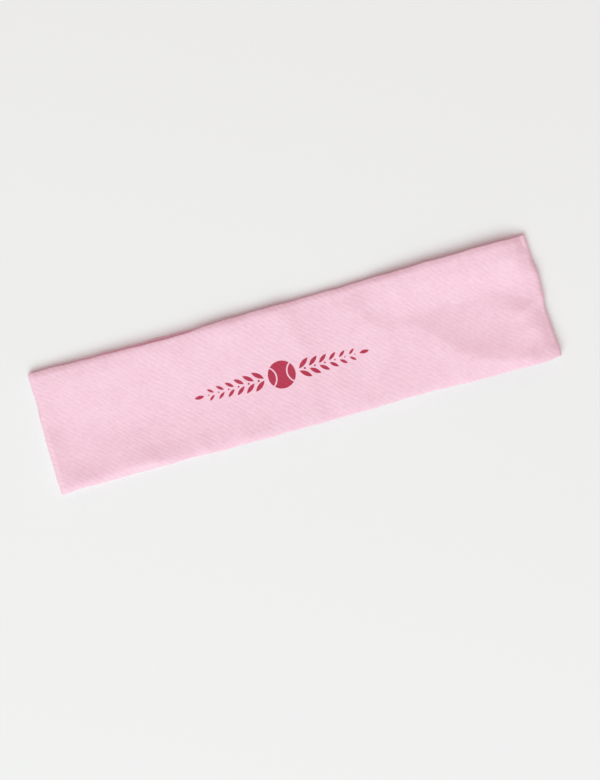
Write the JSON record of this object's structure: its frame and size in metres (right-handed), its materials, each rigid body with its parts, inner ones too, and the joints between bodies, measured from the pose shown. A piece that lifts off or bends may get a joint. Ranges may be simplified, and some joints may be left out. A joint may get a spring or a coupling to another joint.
{
  "type": "sports headband",
  "caption": "Flat-laid stretch knit sports headband: a double-layer loop with turned edge seams, a centre-back join and a printed ornament, which opens into a ring round the head.",
  "frame": {"origin": "middle of the underside of the band as it lies flat, front half up", "axes": "+X along the flat band towards its right fold, +Y across its width (the axis of the loop, which points up when worn), +Z out of the front face"},
  "size_m": [0.24, 0.059, 0.0055],
  "materials": {
    "outer_knit": "fine diagonal rib jersey, soft matte",
    "lining_knit": "fine jersey, soft matte",
    "thread": "spun polyester thread",
    "satin": "satin weave",
    "print_film": "matte transfer film"
  },
  "bodies": {
    "front_left": {"outer_front_left": "outer_knit", "lining_front_left": "lining_knit", "edge_seams_front_left": "thread"},
    "front_centre": {"outer_front_centre": "outer_knit", "lining_front_centre": "lining_knit", "edge_seams_front_centre": "thread", "printed_ornament": "print_film"},
    "front_right": {"outer_front_right": "outer_knit", "lining_front_right": "lining_knit", "edge_seams_front_right": "thread"},
    "back_left": {"outer_back_left": "outer_knit", "lining_back_left": "lining_knit", "edge_seams_back_left": "thread"},
    "back_centre_left": {"outer_back_centre_left": "outer_knit", "lining_back_centre_left": "lining_knit", "edge_seams_back_centre_left": "thread", "join_seam": "thread", "join_closing_stitches": "thread", "care_label": "satin"},
    "back_centre_right": {"outer_back_centre_right": "outer_knit", "lining_back_centre_right": "lining_knit", "edge_seams_back_centre_right": "thread"},
    "back_right": {"outer_back_right": "outer_knit", "lining_back_right": "lining_knit", "edge_seams_back_right": "thread"},
    "left_fold": {"outer_fold_left": "outer_knit", "lining_fold_left": "lining_knit", "edge_seams_fold_left": "thread"},
    "right_fold": {"outer_fold_right": "outer_knit", "lining_fold_right": "lining_knit", "edge_seams_fold_right": "thread"}
  },
  "joints": [
    {"name": "back_left_bend", "type": "hinge", "parent": "back_centre_left", "child": "back_left", "pos_m": [-0.05, 0, 0.0027], "axis": [0, 1, 0], "range_deg": [0, 60]},
    {"name": "left_fold_lower", "type": "hinge", "parent": "back_left", "child": "left_fold", "pos_m": [-0.1173, 0, 0.0027], "axis": [0, -1, 0], "range_deg": [0, 60], "deforming": ["outer_fold_left", "lining_fold_left", "edge_seams_fold_left"]},
    {"name": "left_fold_upper", "type": "hinge", "parent": "left_fold", "child": "front_left", "pos_m": [-0.1173, 0, 0.0027], "axis": [0, -1, 0], "range_deg": [0, 60], "deforming": ["outer_fold_left", "lining_fold_left", "edge_seams_fold_left"]},
    {"name": "front_left_bend", "type": "hinge", "parent": "front_left", "child": "front_centre", "pos_m": [-0.05, 0, 0.0027], "axis": [0, 1, 0], "range_deg": [0, 60]},
    {"name": "front_right_bend", "type": "hinge", "parent": "front_centre", "child": "front_right", "pos_m": [0.05, 0, 0.0027], "axis": [0, 1, 0], "range_deg": [0, 60]},
    {"name": "right_fold_upper", "type": "hinge", "parent": "front_right", "child": "right_fold", "pos_m": [0.1173, 0, 0.0027], "axis": [0, -1, 0], "range_deg": [0, 60], "deforming": ["outer_fold_right", "lining_fold_right", "edge_seams_fold_right"]},
    {"name": "right_fold_lower", "type": "hinge", "parent": "right_fold", "child": "back_right", "pos_m": [0.1173, 0, 0.0027], "axis": [0, -1, 0], "range_deg": [0, 60], "deforming": ["outer_fold_right", "lining_fold_right", "edge_seams_fold_right"]},
    {"name": "back_right_bend", "type": "hinge", "parent": "back_right", "child": "back_centre_right", "pos_m": [0.05, 0, 0.0027], "axis": [0, 1, 0], "range_deg": [0, 60]}
  ],
  "couplings": [
    {"joint": "left_fold_lower", "follows": "back_left_bend", "ratio": 1},
    {"joint": "left_fold_upper", "follows": "back_left_bend", "ratio": 1},
    {"joint": "front_left_bend", "follows": "back_left_bend", "ratio": 1},
    {"joint": "front_right_bend", "follows": "back_left_bend", "ratio": 1},
    {"joint": "right_fold_upper", "follows": "back_left_bend", "ratio": 1},
    {"joint": "right_fold_lower", "follows": "back_left_bend", "ratio": 1},
    {"joint": "back_right_bend", "follows": "back_left_bend", "ratio": 1}
  ]
}
